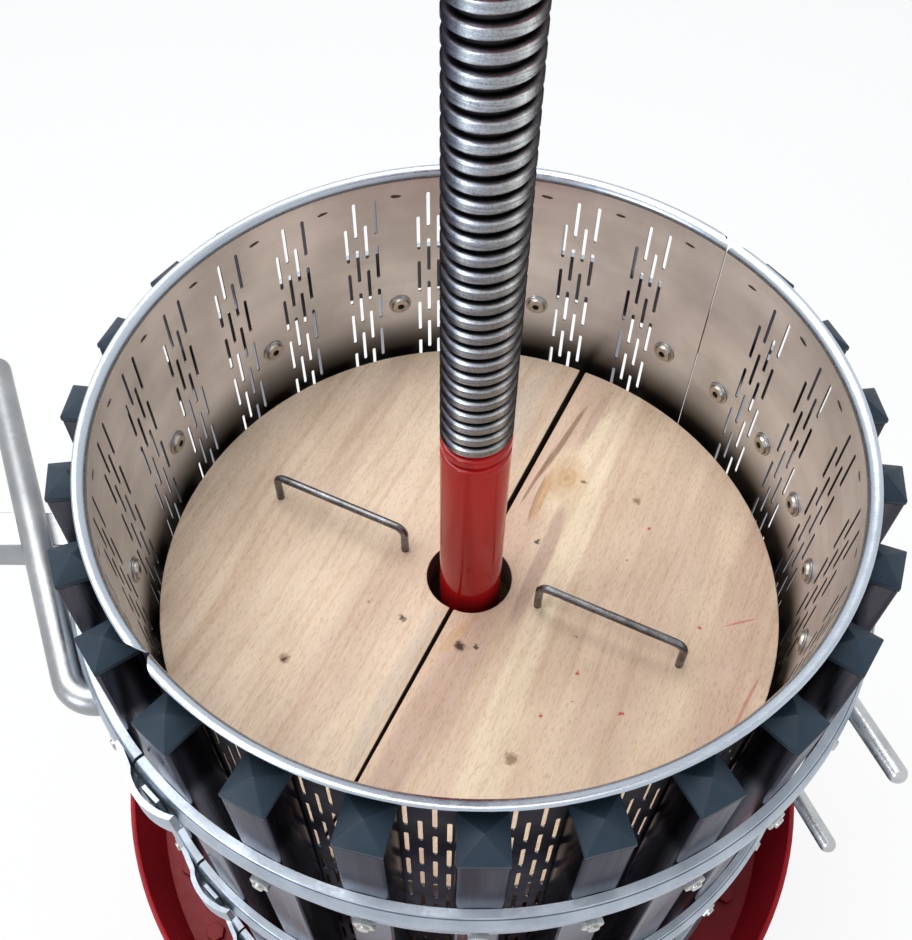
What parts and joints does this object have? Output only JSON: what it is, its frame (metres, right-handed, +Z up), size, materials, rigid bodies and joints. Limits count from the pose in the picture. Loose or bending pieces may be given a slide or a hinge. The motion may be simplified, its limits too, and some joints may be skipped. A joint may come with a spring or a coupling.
{
  "type": "lever wine press",
  "caption": "Ratchet-lever screw press for grapes: split perforated cage with slats and hoops, half-moon boards, central screw and red pan on legs.",
  "frame": {"origin": "on the floor, on the axis of the central screw, at the centre of the three floor-bolt holes", "axes": "+Z up along the screw, -Y towards the pan's spout, +X along the lever as drawn"},
  "size_m": [1.3773, 0.877, 1.503],
  "materials": {
    "red_paint": "gloss enamel over steel and cast iron",
    "screw_steel": "turned steel, oiled, lower shank painted red",
    "stainless_sheet": "perforated stainless sheet",
    "slat_steel": "brushed stainless square tube",
    "hoop_steel": "zinc-plated rolled band",
    "cap_plastic": "dark moulded plastic",
    "fastener_steel": "stainless fasteners",
    "handle_steel": "bare drawn rod, lightly oxidised",
    "bar_steel": "galvanised tube and rod",
    "board_wood": "planed beech, unfinished",
    "block_wood": "sawn hardwood",
    "bronze": "turned bronze",
    "dark_steel": "blackened spring steel",
    "grip_rubber": "moulded sleeve"
  },
  "bodies": {
    "base": {"pan": "red_paint", "spout": "red_paint", "base_plate": "red_paint", "screw": "screw_steel", "screw_washer": "fastener_steel", "screw_nut": "fastener_steel", "legs": "red_paint", "leg_bolts": "fastener_steel", "leg_nuts": "fastener_steel", "spacer_blocks_along": "block_wood", "spacer_blocks_across": "block_wood"},
    "cage_back": {"liner_back": "stainless_sheet", "slats_back": "slat_steel", "slat_caps_back": "cap_plastic", "hoop_upper_back": "hoop_steel", "hoop_middle_back": "hoop_steel", "hoop_lower_back": "hoop_steel", "hoop_bolts_back": "fastener_steel", "hoop_nuts_back": "fastener_steel", "seam_hooks": "hoop_steel", "carry_bar": "bar_steel", "bar_arm": "bar_steel"},
    "cage_front": {"liner_front": "stainless_sheet", "slats_front": "slat_steel", "slat_caps_front": "cap_plastic", "hoop_upper_front": "hoop_steel", "hoop_middle_front": "hoop_steel", "hoop_lower_front": "hoop_steel", "hoop_bolts_front": "fastener_steel", "hoop_nuts_front": "fastener_steel", "seam_tongues": "hoop_steel", "grip_rods": "bar_steel"},
    "board_left": {"board_left": "board_wood", "board_handle_left": "handle_steel"},
    "board_right": {"board_right": "board_wood", "board_handle_right": "handle_steel"},
    "pressure_head": {"pressure_plate": "red_paint", "thrust_washer": "bronze"},
    "ratchet_nut": {"ratchet_nut": "red_paint", "retaining_ring": "dark_steel"},
    "lever_holder": {"lever_holder": "red_paint"},
    "pawl_driving": {"pawl_driving": "dark_steel"},
    "pawl_returning": {"pawl_returning": "dark_steel"},
    "lever": {"lever_bar": "bar_steel", "lever_grip": "grip_rubber"}
  },
  "joints": [
    {"name": "cage_lift", "type": "slide", "parent": "base", "child": "cage_back", "axis": [0, 0, 1], "range_m": [0, 0.08]},
    {"name": "front_half_lift", "type": "slide", "parent": "cage_back", "child": "cage_front", "axis": [0, 0, 1], "range_m": [0, 0.06]},
    {"name": "board_left_lift", "type": "slide", "parent": "base", "child": "board_left", "axis": [0, 0, 1], "range_m": [0, 0.18]},
    {"name": "board_right_lift", "type": "slide", "parent": "base", "child": "board_right", "axis": [0, 0, 1], "range_m": [0, 0.18]},
    {"name": "head_travel", "type": "slide", "parent": "base", "child": "pressure_head", "axis": [0, 0, 1], "range_m": [-0.0361, 0.0121]},
    {"name": "head_turn", "type": "hinge", "parent": "pressure_head", "child": "ratchet_nut", "pos_m": [0, 0, 1.4], "axis": [0, 0, 1], "range_deg": [-1080, 360]},
    {"name": "lever_swing", "type": "hinge", "parent": "ratchet_nut", "child": "lever_holder", "pos_m": [0, 0, 1.4], "axis": [0, 0, 1], "range_deg": [-40, 40]},
    {"name": "pawl_driving_drop", "type": "slide", "parent": "lever_holder", "child": "pawl_driving", "axis": [0, 0, 1], "range_m": [-0.022, 0]},
    {"name": "pawl_returning_drop", "type": "slide", "parent": "lever_holder", "child": "pawl_returning", "axis": [0, 0, 1], "range_m": [-0.022, 0]},
    {"name": "lever_pull", "type": "slide", "parent": "lever_holder", "child": "lever", "axis": [1, 0, 0], "range_m": [0, 0.1]}
  ],
  "couplings": [
    {"joint": "head_travel", "follows": "head_turn", "m_per_rad": 0.0019099}
  ]
}
